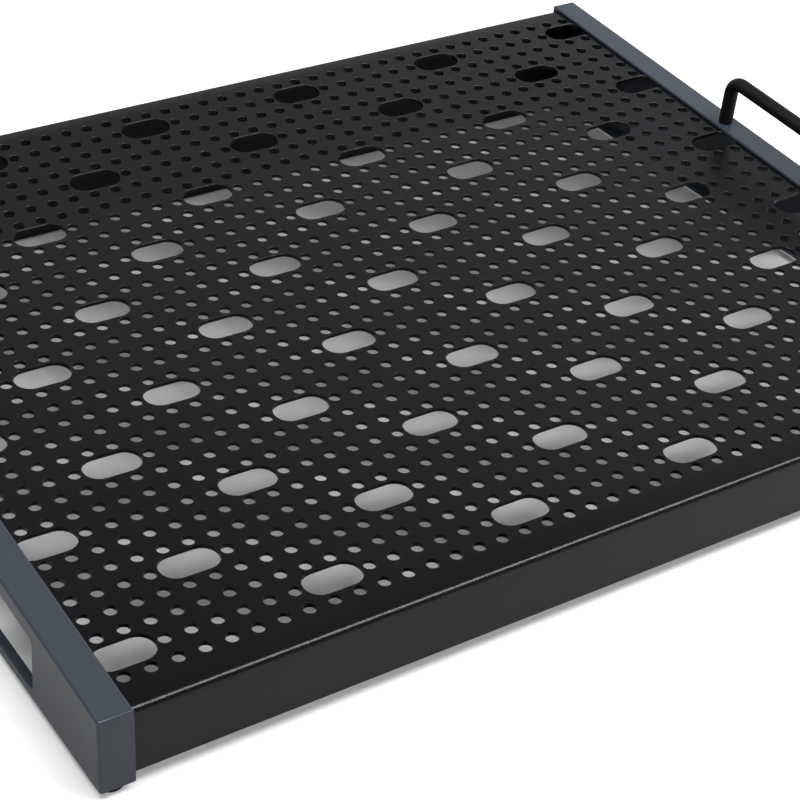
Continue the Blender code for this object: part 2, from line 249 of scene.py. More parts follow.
def makeCoatGrain():
    # fine powder-coat texture: pimples over a slow change of tone
    group, given, result = newGroup(
        "coatGrain",
        [("Vector", "NodeSocketVector", None), ("Pimples", "NodeSocketFloat", 900.0),
         ("Blotches", "NodeSocketFloat", 14.0)],
        [("Height", "NodeSocketFloat"), ("Tone", "NodeSocketFloat")])
    pimples = addNode(group, "ShaderNodeTexNoise")
    pimples.inputs["Detail"].default_value = 2.5
    pimples.inputs["Roughness"].default_value = 0.55
    specks = addNode(group, "ShaderNodeTexVoronoi")
    blotches = addNode(group, "ShaderNodeTexNoise")
    blotches.inputs["Detail"].default_value = 3.0
    weaker = addNode(group, "ShaderNodeMath", operation="MULTIPLY")
    weaker.inputs[1].default_value = 0.45
    height = addNode(group, "ShaderNodeMath", operation="SUBTRACT")
    for texture in (pimples, specks, blotches):
        group.links.new(given.outputs["Vector"], texture.inputs["Vector"])
    group.links.new(given.outputs["Pimples"], pimples.inputs["Scale"])
    group.links.new(given.outputs["Pimples"], specks.inputs["Scale"])
    group.links.new(given.outputs["Blotches"], blotches.inputs["Scale"])
    group.links.new(specks.outputs["Distance"], weaker.inputs[0])
    group.links.new(pimples.outputs["Fac"], height.inputs[0])
    group.links.new(weaker.outputs[0], height.inputs[1])
    group.links.new(height.outputs[0], result.inputs["Height"])
    group.links.new(blotches.outputs["Fac"], result.inputs["Tone"])
    return group


def makeEdgeRub():
    # 1 on sharp edges, 0 on flats, broken up by noise
    group, given, result = newGroup(
        "edgeRub",
        [("Vector", "NodeSocketVector", None), ("Breakup", "NodeSocketFloat", 220.0)],
        [("Mask", "NodeSocketFloat")])
    rounded = addNode(group, "ShaderNodeBevel", samples=4)
    rounded.inputs["Radius"].default_value = 0.0005
    facing = addNode(group, "ShaderNodeNewGeometry")
    turn = addNode(group, "ShaderNodeVectorMath", operation="DOT_PRODUCT")
    edge = addNode(group, "ShaderNodeMapRange")
    edge.inputs["From Min"].default_value = 0.995
    edge.inputs["From Max"].default_value = 0.86
    noise = addNode(group, "ShaderNodeTexNoise")
    noise.inputs["Detail"].default_value = 4.0
    broken = addNode(group, "ShaderNodeMath", operation="MULTIPLY", use_clamp=True)
    group.links.new(given.outputs["Vector"], noise.inputs["Vector"])
    group.links.new(given.outputs["Breakup"], noise.inputs["Scale"])
    group.links.new(rounded.outputs["Normal"], turn.inputs[0])
    group.links.new(facing.outputs["Normal"], turn.inputs[1])
    group.links.new(turn.outputs["Value"], edge.inputs["Value"])
    group.links.new(edge.outputs["Result"], broken.inputs[0])
    group.links.new(noise.outputs["Fac"], broken.inputs[1])
    group.links.new(broken.outputs[0], result.inputs["Mask"])
    return group


coatGrain = makeCoatGrain()
edgeRub = makeEdgeRub()


def makeCoat(name, look):
    # painted or moulded surface: two tones, grain in the bump and roughness, lighter rubbed edges
    material = bpy.data.materials.new(name)
    material.use_nodes = True
    tree = material.node_tree
    shader = tree.nodes["Principled BSDF"]
    shader.inputs["Specular IOR Level"].default_value = look["specular"]
    shader.inputs["Metallic"].default_value = look["metallic"]
    where = addNode(tree, "ShaderNodeTexCoord")
    grain = addNode(tree, "ShaderNodeGroup", node_tree=coatGrain)
    grain.inputs["Pimples"].default_value = look["pimples"]
    grain.inputs["Blotches"].default_value = look["blotches"]
    rub = addNode(tree, "ShaderNodeGroup", node_tree=edgeRub)
    tones = addNode(tree, "ShaderNodeMix", data_type="RGBA")
    tones.inputs["A"].default_value = (*look["dark"], 1.0)
    tones.inputs["B"].default_value = (*look["light"], 1.0)
    rubbed = addNode(tree, "ShaderNodeMix", data_type="RGBA")
    rubbed.inputs["B"].default_value = (*look["rubbed"], 1.0)
    amount = addNode(tree, "ShaderNodeMath", operation="MULTIPLY")
    amount.inputs[1].default_value = look["rub"]
    gloss = addNode(tree, "ShaderNodeMapRange")
    gloss.inputs["To Min"].default_value = look["roughness"][0]
    gloss.inputs["To Max"].default_value = look["roughness"][1]
    bump = addNode(tree, "ShaderNodeBump")
    bump.inputs["Strength"].default_value = look["bump"]
    bump.inputs["Distance"].default_value = look["bumpDepth"]
    tree.links.new(where.outputs["Object"], grain.inputs["Vector"])
    tree.links.new(where.outputs["Object"], rub.inputs["Vector"])
    tree.links.new(grain.outputs["Tone"], tones.inputs["Factor"])
    tree.links.new(rub.outputs["Mask"], amount.inputs[0])
    tree.links.new(tones.outputs["Result"], rubbed.inputs["A"])
    tree.links.new(amount.outputs[0], rubbed.inputs["Factor"])
    tree.links.new(rubbed.outputs["Result"], shader.inputs["Base Color"])
    tree.links.new(grain.outputs["Tone"], gloss.inputs["Value"])
    tree.links.new(gloss.outputs["Result"], shader.inputs["Roughness"])
    tree.links.new(grain.outputs["Height"], bump.inputs["Height"])
    tree.links.new(bump.outputs["Normal"], shader.inputs["Normal"])
    return material


deckCoat = makeCoat("deckPowderCoat", {
    "dark": (0.0040, 0.0041, 0.0045), "light": (0.0055, 0.0056, 0.0060), "rubbed": (0.02, 0.02, 0.021),
    "rub": 0.35, "specular": 0.40, "metallic": 0.0, "roughness": (0.20, 0.26),
    "pimples": 1100.0, "blotches": 18.0, "bump": 0.45, "bumpDepth": 0.0002})
railCoat = makeCoat("railSatinCoat", {
    "dark": (0.043, 0.055, 0.071), "light": (0.049, 0.062, 0.079), "rubbed": (0.11, 0.13, 0.16),
    "rub": 0.9, "specular": 0.70, "metallic": 0.0, "roughness": (0.24, 0.30),
    "pimples": 2600.0, "blotches": 22.0, "bump": 0.12, "bumpDepth": 0.00012})
handleCoat = makeCoat("handleTexturedCoat", {
    "dark": (0.0030, 0.0030, 0.0030), "light": (0.0055, 0.0055, 0.0055), "rubbed": (0.015, 0.015, 0.015),
    "rub": 0.3, "specular": 0.3, "metallic": 0.0, "roughness": (0.45, 0.58),
    "pimples": 1300.0, "blotches": 60.0, "bump": 0.5, "bumpDepth": 0.0003})
footRubber = makeCoat("footRubber", {
    "dark": (0.008, 0.008, 0.008), "light": (0.015, 0.015, 0.015), "rubbed": (0.03, 0.03, 0.03),
    "rub": 0.4, "specular": 0.35, "metallic": 0.0, "roughness": (0.72, 0.85),
    "pimples": 1800.0, "blotches": 150.0, "bump": 0.3, "bumpDepth": 0.0002})
zincSteel = makeCoat("zincPlatedSteel", {
    "dark": (0.44, 0.45, 0.47), "light": (0.60, 0.61, 0.62), "rubbed": (0.72, 0.72, 0.71),
    "rub": 0.6, "specular": 0.5, "metallic": 1.0, "roughness": (0.28, 0.46),
    "pimples": 2400.0, "blotches": 240.0, "bump": 0.15, "bumpDepth": 0.0001})
print("finishes made")

# deck: one sheet with a grid of round holes and cable slots, folded down at the front and the rear
deck = {
    "topBelowRail": 0.0018,
    "holeRadius": 0.003,
    "holeCorners": 16,
    "holeMargin": 0.0005,     # for finding a hole's edges
    "slotLength": 0.028,
    "slotWidth": 0.0156,
    "slotCorner": 0.00765,
    "slotCornerSteps": 5,
    "unitColumns": 8,         # the pattern repeats after this many columns and rows
    "unitRows": 6,
    "unitSlots": ((0, 0), (4, 3)),
    "firstColumn": -2,        # grid lines that bound the drilled field
    "lastColumn": 42,
    "frontLine": -1.5,
    "rearLine": 31.5,
    "halfWidth": 0.2649,
    "sheet": 0.002,
    "bendRadius": 0.003,
    "bendSteps": 4,
    "skirtFace": 0.2077,
    "skirtBottom": {"front": 0.0073, "rear": 0.0012},
    "rim": 0.00012,
    "rimHalfWidth": 0.2645,   # the side edges stay sharp
    "sag": 0.0034,            # in the middle of the sheet, none under the rails and at the skirts
    "sagHalfWidth": 0.2511,
    "notch": (0.2508, 0.0053),
    "notchFrom": 0.24,
    "shadeAngle": 35,
}


def makeHoleCell():
    clearSelection()
    bpy.ops.mesh.primitive_plane_add(size=board["pitch"], location=(0, 0, 0))
    cell = started("deckSheet")
    openEdit(cell)
    bpy.ops.mesh.select_all(action="SELECT")
    bpy.ops.mesh.delete(type="ONLY_FACE")
    bpy.ops.mesh.select_all(action="SELECT")
    bpy.ops.mesh.subdivide(number_cuts=deck["holeCorners"] // 4 - 1)
    bpy.ops.mesh.primitive_circle_add(vertices=deck["holeCorners"], radius=deck["holeRadius"],
                                      location=(0, 0, 0))
    bpy.ops.mesh.select_all(action="SELECT")
    bpy.ops.mesh.bridge_edge_loops()
    bpy.ops.mesh.select_all(action="SELECT")
    bpy.ops.mesh.normals_make_consistent(inside=False)
    closeEdit()
    return cell


def repeat(piece, count, offset):
    finishWith(piece, "ARRAY", count=count, use_relative_offset=False, use_constant_offset=True,
               constant_offset_displace=offset, use_merge_vertices=True, merge_threshold=work["seam"])


def cutSlot(sheet, column, row):
    x, y = gridColumn(column), gridRow(row)
    reachX, reachY = deck["slotLength"] / 2, deck["slotWidth"] / 2
    slot = addBlock("slotCutter", (x - reachX, y - reachY, -work["through"]),
                    (x + reachX, y + reachY, work["through"]))
    roundEdges(slot, isUpright, deck["slotCorner"], deck["slotCornerSteps"])
    combine(sheet, slot, "DIFFERENCE")


def makeDeckField():
    pitch = board["pitch"]
    sheet = makeHoleCell()
    repeat(sheet, deck["unitColumns"], (pitch, 0, 0))
    repeat(sheet, deck["unitRows"], (0, pitch, 0))
    firstHole = (gridColumn(deck["firstColumn"] + 0.5), gridRow(deck["frontLine"] + 0.5), 0.0)
    place(sheet, Matrix.Translation(firstHole))
    # the slots are cut through a solid unit, and only its top side is kept
    finishWith(sheet, "SOLIDIFY", thickness=deck["sheet"], offset=-1.0)
    for column, row in deck["unitSlots"]:
        cutSlot(sheet, column, row)
    openEdit(sheet)
    pick(sheet, "FACE", lambda face: face.normal.z < 0.9 or face.calc_center_median().z < -work["near"])
    bpy.ops.mesh.delete(type="FACE")
    closeEdit()
    across = math.ceil((deck["lastColumn"] - deck["firstColumn"]) / deck["unitColumns"])
    upwards = math.ceil((deck["rearLine"] - deck["frontLine"]) / deck["unitRows"])
    repeat(sheet, across, (deck["unitColumns"] * pitch, 0, 0))
    repeat(sheet, upwards, (0, deck["unitRows"] * pitch, 0))
    return sheet


def trimDeckField(sheet):
    right, rear = gridColumn(deck["lastColumn"]), gridRow(deck["rearLine"])

    def isPastField(face):
        spot = face.calc_center_median()
        return spot.x > right or spot.y > rear

    openEdit(sheet)
    pick(sheet, "FACE", isPastField)
    bpy.ops.mesh.delete(type="FACE")
    # under the rails only the holes that take bolts stay open
    boltRows = [gridRow(row) for row in board["studRows"] + board["legRows"]]
    reach = deck["holeRadius"] + deck["holeMargin"]

    def isSpareHole(edge):
        spot = middle(edge)
        if not edge.is_boundary or abs(abs(spot.x) - board["boltLine"]) > reach:
            return False
        row = round((spot.y - board["firstRow"]) / board["pitch"])
        fromHole = math.hypot(abs(spot.x) - board["boltLine"], spot.y - gridRow(row))
        return fromHole < reach and all(abs(spot.y - y) > reach for y in boltRows)

    pick(sheet, "EDGE", isSpareHole)
    bpy.ops.mesh.fill_holes(sides=deck["holeCorners"])
    # plain strip out to each side edge
    for sign in sides.values():
        edgeX = sign * board["pitch"] * (deck["lastColumn"] - board["middleColumn"])
        pick(sheet, "EDGE", lambda edge: edge.is_boundary and abs(middle(edge).x - edgeX) < work["seam"])
        moveOut((sign * deck["halfWidth"] - edgeX, 0, 0))
    closeEdit()


def sagDeck(sheet):
    # the sheet hangs a little between the rails
    openEdit(sheet)
    body = bmesh.from_edit_mesh(sheet.data)
    rearEnd = gridRow(deck["rearLine"])
    frontEnd = gridRow(deck["frontLine"])
    for vert in body.verts:
        across = min(1, abs(vert.co.x) / deck["sagHalfWidth"])
        upwards = (2 * vert.co.y - frontEnd - rearEnd) / (rearEnd - frontEnd)
        vert.co.z -= deck["sag"] * (1 - across * across) * (1 - upwards * upwards)
    bmesh.update_edit_mesh(sheet.data)
    closeEdit()


def foldSkirts(sheet):
    place(sheet, upSlope @ Matrix.Translation((0, 0, -deck["topBelowRail"])))
    tilt = board["tilt"]
    slope = Vector((0.0, math.cos(tilt), math.sin(tilt)))
    normal = Vector((0.0, -math.sin(tilt), math.cos(tilt)))
    radius = deck["bendRadius"]
    lines = {"front": deck["frontLine"], "rear": deck["rearLine"]}
    for end, sign in ends.items():
        turn = math.radians(90) + sign * tilt
        cornerY = sign * deck["skirtFace"]
        corner = Vector((0.0, cornerY, railTop(cornerY) - deck["topBelowRail"] / math.cos(tilt)))
        bendStart = corner - sign * slope * radius * math.tan(turn / 2)
        fieldEnd = upSlope @ Vector((0.0, gridRow(lines[end]), -deck["topBelowRail"]))
        openEdit(sheet)
        pick(sheet, "EDGE", lambda edge: edge.is_boundary and abs(along(edge).x) > 0.99
             and abs(middle(edge).y - fieldEnd.y) < work["near"] / 2)
        moveOut(bendStart - fieldEnd)
        turnEdges(deck["bendSteps"], -sign * turn, bendStart - normal * radius)
        drop = deck["skirtBottom"][end] - corner.z + radius * math.tan(turn / 2)
        moveOut((0, 0, drop))
        closeEdit()


def notchSkirts(sheet):
    # the lower corners are cut away where the rails' bottom flanges are
    notchX, notchTop = deck["notch"]

    def isSkirt(face):
        return abs(face.normal.y) > 0.99

    def isCorner(face):
        spot = face.calc_center_median()
        return isSkirt(face) and spot.z < notchTop and abs(spot.x) > notchX

    openEdit(sheet)
    for sign in sides.values():
        for spot, direction in (((sign * notchX, 0, 0), (1, 0, 0)), ((0, 0, notchTop), (0, 0, 1))):
            pick(sheet, "FACE", lambda face: isSkirt(face)
                 and sign * face.calc_center_median().x > deck["notchFrom"])
            bpy.ops.mesh.bisect(plane_co=spot, plane_no=direction)
    pick(sheet, "FACE", isCorner)
    bpy.ops.mesh.delete(type="FACE")
    closeEdit()


def softenRims(sheet):
    # a small round on the upper edge of every hole and slot, where the coating thins
    upwards = Vector((0.0, -math.sin(board["tilt"]), math.cos(board["tilt"])))

    def isRim(edge):
        if len(edge.link_faces) != 2 or abs(middle(edge).x) > deck["rimHalfWidth"]:
            return False
        first, second = [face.normal.dot(upwards) for face in edge.link_faces]
        return max(first, second) > 0.9 and abs(min(first, second)) < 0.3

    roundEdges(sheet, isRim, deck["rim"], 1)


def makeDeck():
    sheet = makeDeckField()
    trimDeckField(sheet)
    sagDeck(sheet)
    foldSkirts(sheet)
    notchSkirts(sheet)
    tidyNormals(sheet)
    finishWith(sheet, "SOLIDIFY", thickness=deck["sheet"], offset=-1.0, use_even_offset=True)
    softenRims(sheet)
    shade(sheet, deck["shadeAngle"])
    return sheet


deckPiece = makeDeck()
dress(deckPiece, deckCoat, "deck_black", "deck_plate")
print("deck made:", len(deckPiece.data.polygons), "faces")

# side rails: folded channels, open towards the middle, with a window near the front
rail = {
    "sheet": 0.0015,
    "flange": 0.0156,
    "bottom": 0.003,
    "ledge": 0.0062,          # bottom flange between the end tabs
    "endTab": 0.024,
    "bends": {"top": 0.0010, "bottom": 0.0023, "upright": 0.0024},
    "bendSteps": 5,
    "windowFront": 0.062,     # at the sill
    "windowLength": 0.132,
    "windowTopStrip": 0.0085,
    "windowBottomStrip": 0.0055,
    "windowCut": (0.005, 0.008),     # how far its cutter stands out and reaches in
    "windowCorner": 0.003,
    "reliefTop": 0.006,
    "reliefCorner": 0.003,
    "cornerSteps": 5,
    "edge": 0.00025,
    "studRadius": 0.0025,
    "studEnd": -0.0091,
    "studChamfer": 0.0005,
    "weld": 0.0005,
    "screwHole": 0.0028,
    "footHole": 0.0018,
    "footHoleTop": 0.0055,
    "footInset": 0.008,
    "shadeAngle": 35,
}


def pickTopCorners(block, bottom, y):
    near = work["near"]
    pick(block, "VERT", lambda vert: vert.co.z > bottom + near and abs(vert.co.y - y) < near)


def makeWedge(name, low, high, topOffset):
    # a block whose top follows the rails' slope
    flatTop = low[2] + 0.02
    block = addBlock(name, low, (*high[:2], flatTop))
    openEdit(block)
    for y in (low[1], high[1]):
        pickTopCorners(block, low[2], y)
        bpy.ops.transform.translate(value=(0, 0, railTop(y) - topOffset - flatTop))
    closeEdit()
    return block


def footSpot(side, end):
    x = sides[side] * (board["halfWidth"] - rail["flange"] / 2)
    return x, ends[end] * (board["halfDepth"] - rail["footInset"])


def bendRail(piece, outer):
    # the open side goes, the sheet gets its thickness, then every outer fold is rounded
    openEdit(piece)
    pick(piece, "FACE", lambda face: face.normal.x > 0.9)
    bpy.ops.mesh.delete(type="ONLY_FACE")
    closeEdit()
    finishWith(piece, "SOLIDIFY", thickness=rail["sheet"], offset=-1.0, use_even_offset=True)

    def foldOf(edge):
        spots = [vert.co for vert in edge.verts]
        touch = work["touch"]
        outside = all(abs(spot.x - outer) < touch for spot in spots)
        atEnd = all(abs(abs(spot.y) - board["halfDepth"]) < touch for spot in spots)
        if outside and atEnd:
            return "upright"
        if (outside or atEnd) and all(abs(spot.z - rail["bottom"]) < touch for spot in spots):
            return "bottom"
        if (outside or atEnd) and all(abs(spot.z - railTop(spot.y)) < touch for spot in spots):
            return "top"
        return "none"

    widest = max(rail["bends"].values())
    openEdit(piece)
    for fold, radius in rail["bends"].items():
        pick(piece, "EDGE", lambda edge: foldOf(edge) == fold)
        bpy.ops.transform.edge_bevelweight(value=radius / widest)
    closeEdit()
    finishWith(piece, "BEVEL", width=widest, segments=rail["bendSteps"], limit_method="WEIGHT")


def makeRail():
    outer, inner = -board["halfWidth"], -board["halfWidth"] + rail["flange"]
    reach = board["halfDepth"]
    piece = makeWedge("leftRail", (outer, -reach, rail["bottom"]), (inner, reach), 0.0)
    bendRail(piece, outer)
    # the bottom flange keeps its full width only where the feet are
    tabEnd = reach - rail["endTab"]
    relief = addBlock("reliefCutter", (outer + rail["ledge"], -tabEnd, 0.0),
                      (inner + work["through"], tabEnd, rail["reliefTop"]))
    roundEdges(relief, isUpright, rail["reliefCorner"], rail["cornerSteps"])
    combine(piece, relief, "DIFFERENCE")
    # window: level sill, head along the slope, ends square to the slope, small corners
    start = rail["windowFront"] - reach
    sill = rail["bottom"] + rail["windowBottomStrip"]
    cutOut, cutIn = rail["windowCut"]
    window = makeWedge("windowCutter", (outer - cutOut, start, sill),
                       (outer + cutIn, start + rail["windowLength"]), rail["windowTopStrip"])
    openEdit(window)
    for y in (start, start + rail["windowLength"]):
        pickTopCorners(window, sill, y)
        rise = railTop(y) - rail["windowTopStrip"] - sill
        bpy.ops.transform.translate(value=(0, -rise * math.tan(board["tilt"]), 0))
    closeEdit()
    roundEdges(window, lambda edge: abs(along(edge).x) > 0.9, rail["windowCorner"], rail["cornerSteps"])
    combine(piece, window, "DIFFERENCE")
    for row in board["legRows"]:
        hole = addRound("holeCutter", rail["screwHole"], -work["holeCut"], work["holeCut"],
                        -board["boltLine"], gridRow(row))
        combine(piece, place(hole, upSlope), "DIFFERENCE")
    for end in ends:
        hole = addRound("holeCutter", rail["footHole"], 0.0, rail["footHoleTop"], *footSpot("left", end))
        combine(piece, hole, "DIFFERENCE")
    softenEdges(piece, rail["edge"], 50)
    # studs welded under the top flange take the deck's nuts
    for row in board["studRows"]:
        stud = addRound("railStud", rail["studRadius"], rail["studEnd"], -rail["sheet"] + rail["weld"],
                        -board["boltLine"], gridRow(row))
        roundEdges(stud, ringAt(rail["studEnd"]), rail["studChamfer"], 2)
        combine(piece, place(stud, upSlope), "UNION")
    tidyNormals(piece)
    shade(piece, rail["shadeAngle"])
    return piece


leftRail = makeRail()
rightRail = place(copyOf(leftRail, "rightRail"), Matrix.Scale(-1.0, 4, (1, 0, 0)))
tidyNormals(rightRail)
shade(rightRail, rail["shadeAngle"])
dress(leftRail, railCoat, "rail_grey", "left_side_rail")
dress(rightRail, railCoat, "rail_grey", "right_side_rail")
print("rails made:", len(leftRail.data.polygons), "faces each")

# handles: a round bar bent twice, standing square on each rail
handle = {
    "radius": 0.004,
    "corners": 32,
    "rise": 0.027,
    "bend": 0.008,
    "bendSteps": 12,
    "foot": 0.0003,
    "footEdge": 0.0004,
    "bore": 0.0028,
    "boreDepth": 0.012,
    "shadeAngle": 40,
}


def makeHandle():
    front, rear = [gridRow(row) for row in board["legRows"]]
    x = -board["boltLine"]
    bendHeight = handle["rise"] - handle["bend"]
    clearSelection()
    bpy.ops.mesh.primitive_circle_add(vertices=handle["corners"], radius=handle["radius"],
                                      location=(x, front, handle["foot"]))
    bar = started("leftHandle")
    bpy.ops.object.transform_apply(location=True, rotation=True, scale=True)
    openEdit(bar)
    bpy.ops.mesh.select_all(action="SELECT")
    moveOut((0, 0, bendHeight - handle["foot"]))
    turnEdges(handle["bendSteps"], -math.pi / 2, (x, front + handle["bend"], bendHeight))
    moveOut((0, rear - front - 2 * handle["bend"], 0))
    turnEdges(handle["bendSteps"], -math.pi / 2, (x, rear - handle["bend"], bendHeight))
    moveOut((0, 0, handle["foot"] - bendHeight))
    pick(bar, "EDGE", lambda edge: edge.is_boundary)
    bpy.ops.mesh.fill_holes(sides=0)
    pick(bar, "EDGE", ringAt(handle["foot"]))
    bpy.ops.mesh.bevel(offset=handle["footEdge"], segments=3, affect="EDGES")
    bpy.ops.mesh.select_all(action="SELECT")
    bpy.ops.mesh.normals_make_consistent(inside=False)
    closeEdit()
    for y in (front, rear):
        bore = addRound("boreCutter", handle["bore"], -work["holeCut"], handle["boreDepth"], x, y)
        combine(bar, bore, "DIFFERENCE")
    place(bar, upSlope)
    tidyNormals(bar)
    shade(bar, handle["shadeAngle"])
    return bar


leftHandle = makeHandle()
rightHandle = place(copyOf(leftHandle, "rightHandle"), Matrix.Translation((2 * board["boltLine"], 0, 0)))
dress(leftHandle, handleCoat, "handle_black", "left_handle")
dress(rightHandle, handleCoat, "handle_black", "right_handle")
print("handles made")

# screws that hold the handles from below, with a hexagon socket in a rounded head
handleScrew = {
    "radius": 0.0025,
    "tip": 0.010,
    "headTop": -0.0041,
    "headHeight": 0.0028,
    "headRadius": 0.0045,
    "headRound": 0.0014,
    "headCorners": 40,
    "overlap": 0.001,
    "tipChamfer": 0.0005,
    "socketRadius": 0.0018,
    "socketDepth": 0.0016,
    "edge": 0.0001,
}


def makeHandleScrew():
    headTop = handleScrew["headTop"]
    headBottom = headTop - handleScrew["headHeight"]
    screw = addRound("handleScrew", handleScrew["headRadius"], headBottom, headTop, 0, 0,
                     handleScrew["headCorners"])
    roundEdges(screw, ringAt(headBottom), handleScrew["headRound"], 5)
    shank = addRound("screwShank", handleScrew["radius"], headTop - handleScrew["overlap"],
                     handleScrew["tip"], 0, 0)
    roundEdges(shank, ringAt(handleScrew["tip"]), handleScrew["tipChamfer"], 2)
    combine(screw, shank, "UNION")
    socket = addRound("socketCutter", handleScrew["socketRadius"], headBottom - work["below"],
                      headBottom + handleScrew["socketDepth"], 0, 0, 6)
    combine(screw, socket, "DIFFERENCE")
    softenEdges(screw, handleScrew["edge"], 50)
    tidyNormals(screw)
    return screw


# hexagon nuts with chamfered corners
nutShape = {
    "turnedRadius": 1.02,     # this and the chamfer are shares of the corner's radius
    "chamfer": 0.16,
    "turnedCorners": 36,
    "edge": 0.0001,
}


def makeNut(name, flats, height, bore):
    corner = flats / math.sqrt(3)
    nut = addRound(name, corner, 0.0, height, 0, 0, 6)
    turned = addRound("chamferTool", corner * nutShape["turnedRadius"], 0.0, height, 0, 0,
                      nutShape["turnedCorners"])
    roundEdges(turned, lambda edge: not isUpright(edge), corner * nutShape["chamfer"], 1)
    combine(nut, turned, "INTERSECT")
    combine(nut, addRound("boreCutter", bore, -height, 2 * height, 0, 0), "DIFFERENCE")
    softenEdges(nut, nutShape["edge"], 40)
    tidyNormals(nut)
    return nut


fastenerShade = 35


def setCopies(model, spots, material, slotName):
    # one copy of the model for every node in spots, each with its own mesh
    for nodeName, matrix in spots.items():
        words = nodeName.split("_")
        twin = place(copyOf(model, words[0] + "".join(word.title() for word in words[1:])), matrix)
        shade(twin, fastenerShade)
        dress(twin, material, slotName, nodeName)
    bpy.data.objects.remove(model, do_unlink=True)


railNut = {"flats": 0.008, "height": 0.004, "bore": 0.0028, "bottom": -0.0081}
screwSpots = {}
nutSpots = {}
for side, sign in sides.items():
    for end, row in zip(ends, board["legRows"]):
        spot = Matrix.Translation((sign * board["boltLine"], gridRow(row), 0))
        screwSpots[f"handle_screw_{side}_{end}"] = upSlope @ spot
    for number, row in enumerate(board["studRows"], start=1):
        spot = Matrix.Translation((sign * board["boltLine"], gridRow(row), railNut["bottom"]))
        nutSpots[f"rail_nut_{side}_{number}"] = upSlope @ spot
setCopies(makeHandleScrew(), screwSpots, zincSteel, "fastener_steel")
setCopies(makeNut("railNut", railNut["flats"], railNut["height"], railNut["bore"]), nutSpots,
          zincSteel, "fastener_steel")
print("rail fasteners made")

# round rubber feet, each with a sunk screw and a nut above the rail's bottom flange
foot = {
    "radius": 0.006,
    "corners": 48,
    "top": 0.0027,
    "round": 0.0008,
    "topEdge": 0.0003,
    "recess": 0.0031,
    "recessDepth": 0.0018,
    "bore": 0.0018,
    "screwRadius": 0.0015,
    "screwTip": 0.0078,
    "headRadius": 0.0028,
    "headCorners": 36,
    "headTop": 0.0015,
    "headBottom": 0.0003,
    "headRound": 0.0007,
    "overlap": 0.0003,
    "crossWidth": 0.0008,
    "crossLength": 0.0032,
    "crossDepth": 0.0006,
    "crossFrom": -0.001,
    "nutFlats": 0.0055,
    "nutHeight": 0.0024,
    "nutBottom": 0.0048,
}


def makeFoot():
    pad = addRound("foot", foot["radius"], 0.0, foot["top"], 0, 0, foot["corners"])
    roundEdges(pad, ringAt(0.0), foot["round"], 5)
    roundEdges(pad, ringAt(foot["top"]), foot["topEdge"], 2)
    recess = addRound("recessCutter", foot["recess"], -work["below"], foot["recessDepth"], 0, 0,
                      foot["headCorners"])
    combine(pad, recess, "DIFFERENCE")
    bore = addRound("boreCutter", foot["bore"], -work["below"], work["holeCut"], 0, 0)
    combine(pad, bore, "DIFFERENCE")
    tidyNormals(pad)
    return pad


def makeFootScrew():
    screw = addRound("footScrew", foot["headRadius"], foot["headBottom"], foot["headTop"], 0, 0,
                     foot["headCorners"])
    roundEdges(screw, ringAt(foot["headBottom"]), foot["headRound"], 4)
    shank = addRound("screwShank", foot["screwRadius"], foot["headTop"] - foot["overlap"], foot["screwTip"],
                     0, 0, 20)
    combine(screw, shank, "UNION")
    across, width = foot["crossLength"] / 2, foot["crossWidth"] / 2
    top = foot["headBottom"] + foot["crossDepth"]
    for reachX, reachY in ((across, width), (width, across)):
        cross = addBlock("crossCutter", (-reachX, -reachY, foot["crossFrom"]), (reachX, reachY, top))
        combine(screw, cross, "DIFFERENCE")
    tidyNormals(screw)
    return screw


footSpots = {}
for side in sides:
    for end in ends:
        footSpots[f"{side}_{end}"] = Matrix.Translation((*footSpot(side, end), 0.0))
padSpots = {"foot_" + key: spot for key, spot in footSpots.items()}
setCopies(makeFoot(), padSpots, footRubber, "foot_black")
footScrewSpots = {"foot_screw_" + key: spot for key, spot in footSpots.items()}
setCopies(makeFootScrew(), footScrewSpots, zincSteel, "fastener_steel")
lifted = Matrix.Translation((0, 0, foot["nutBottom"]))
footNutSpots = {"foot_nut_" + key: spot @ lifted for key, spot in footSpots.items()}
setCopies(makeNut("footNut", foot["nutFlats"], foot["nutHeight"], foot["bore"]), footNutSpots,
          zincSteel, "fastener_steel")
print("feet made")

# floor, light and camera
studio = {
    "floorSize": 12.0,
    "floorSeen": (0.82, 0.82, 0.82),
    "floorBounce": (0.36, 0.36, 0.37),
    "floorInGloss": 0.30,                    # how far reflections see it as the camera does
    "underBoard": (0.2620, 0.2027, 0.0),     # half of the floor that the board hides
    "underMiddle": (0.0, 0.0068, 0.0),
    # metres from the board, and the camera-only emission painted on the floor there: painted light that
    # thins the board's shadow close to it and turns the floor white further out
    "paintedFloorLight": ((0.0, 0.0), (0.004, 0.22), (0.02, 0.46), (0.10, 0.58), (0.60, 1.0)),
    "softboxes": {
        "keySoftbox": {"place": (0.68, -0.60, 1.22), "width": 1.45, "height": 0.50, "power": 21.0,
                       "aim": (0.68, 0.0, 0.0)},
        "topSoftbox": {"place": (-0.48, -0.06, 1.50), "width": 0.8, "height": 0.8, "power": 15.0,
                       "aim": (0.0, 0.0, 0.03)},
    },
    "sky": ((0.32, 0.66), (0.48, 0.46), (0.62, 0.18), (0.80, 0.03)),     # how high, how bright
    "skyTint": (0.97, 0.98, 1.06),
    "glowFrom": (0.55, 0.83, 0.0),           # towards the bright backdrop
    "glow": ((0.60, 0.30), (0.80, 1.0)),     # away from it, towards it
}
view = {
    "lens": 92.224,
    "sensor": 36.0,
    "nearest": 0.01,
    "place": (-0.50138, -0.73810, 0.57817),
    "turn": (56.0293, -2.7758, -32.7091),
}


def setStops(ramp, levels, tint=(1, 1, 1)):
    stops = ramp.color_ramp.elements
    while len(stops) < len(levels):
        stops.new(0.5)
    for stop, (position, level) in zip(stops, levels):
        stop.position = position
        stop.color = (*[level * part for part in tint], 1)


